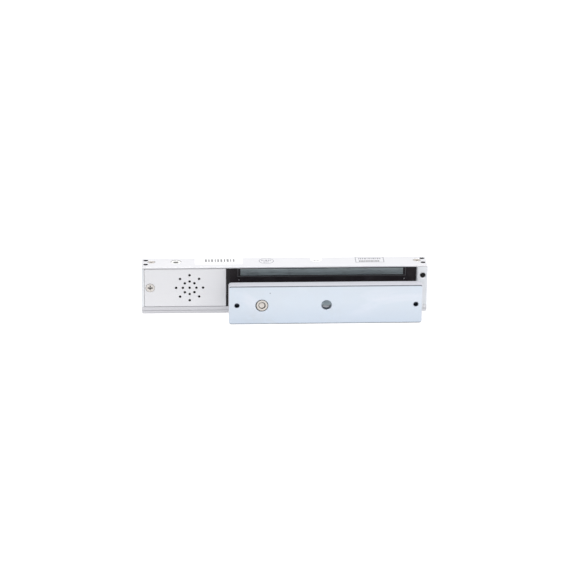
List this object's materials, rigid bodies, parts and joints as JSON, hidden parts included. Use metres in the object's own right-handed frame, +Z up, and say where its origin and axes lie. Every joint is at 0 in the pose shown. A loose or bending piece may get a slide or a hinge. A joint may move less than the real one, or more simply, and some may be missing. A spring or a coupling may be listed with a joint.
{
  "type": "magnetic door lock",
  "caption": "Surface-mounted electromagnetic door lock: slim channel-shaped magnet body with a grilled control-board bay, and the flat armature plate it holds, with a sprung release pin.",
  "frame": {"origin": "under the middle of the whole object (lock body and armature plate together), on the surface both stand on", "axes": "+X along the lock towards its solid end block, +Y from the armature plate to the back of the lock body, +Z up"},
  "size_m": [0.268, 0.0528, 0.0466],
  "materials": {
    "anodised_aluminium": "fine matt anodised, lengthwise extrusion grain",
    "cast_block": "satin, machined",
    "nickel": "nickel plated, warm satin",
    "zinc_plate": "blue-white zinc plate over brushed steel",
    "black_plastic": "moulded, fine texture",
    "resin": "cast epoxy, semi-gloss",
    "core_steel": "ground pole faces",
    "copper": "enamelled copper wire",
    "white_nylon": "moulded nylon",
    "paper": "blank paper label",
    "board_green": "solder mask",
    "terminal_green": "moulded",
    "relay_blue": "moulded case",
    "can_aluminium": "drawn can",
    "varistor_blue": "dipped epoxy",
    "tinned": "tin or zinc plated",
    "brass": "turned",
    "glass": "sealed tube",
    "lead_red": "insulated wire",
    "lead_black": "insulated wire",
    "spring_steel": "drawn wire"
  },
  "bodies": {
    "lock_body": {"housing": "anodised_aluminium", "cover_plate": "anodised_aluminium", "end_block_left": "cast_block", "end_block_right": "cast_block", "cover_screw": "nickel", "top_screw_left": "nickel", "top_screw_right": "nickel", "divider": "black_plastic", "buzzer": "black_plastic", "diode": "black_plastic", "jumper_cap": "black_plastic", "control_chip": "black_plastic", "potting_resin": "resin", "magnet_core": "core_steel", "winding": "copper", "bobbin": "white_nylon", "wire_grommet": "white_nylon", "label_sticker": "paper", "seal_sticker": "paper", "circuit_board": "board_green", "terminal_block": "terminal_green", "relay": "relay_blue", "capacitor": "can_aluminium", "varistor": "varistor_blue", "tap_pin_left": "tinned", "tap_pin_right": "tinned", "board_screw_1": "tinned", "board_screw_2": "tinned", "board_screw_3": "tinned", "board_screw_4": "tinned", "terminal_screw_1": "tinned", "terminal_screw_2": "tinned", "terminal_screw_3": "tinned", "terminal_screw_4": "tinned", "standoff_1": "brass", "standoff_2": "brass", "standoff_3": "brass", "standoff_4": "brass", "jumper_header": "brass", "door_sensor": "glass", "winding_lead_a": "lead_red", "winding_lead_b": "lead_black"},
    "armature": {"armature_plate": "zinc_plate", "pin_bushing": "nickel", "release_spring": "spring_steel"},
    "release_pin": {"release_pin": "nickel"}
  },
  "joints": [
    {"name": "armature_travel", "type": "slide", "parent": "lock_body", "child": "armature", "axis": [0, 1, 0], "range_m": [-0.06, 0.0146]},
    {"name": "release_pin_travel", "type": "slide", "parent": "armature", "child": "release_pin", "axis": [0, -1, 0], "range_m": [0, 0.0018], "stiffness_N_per_m": 1500, "springref_m": -0.002, "deforming": ["release_spring"]}
  ]
}
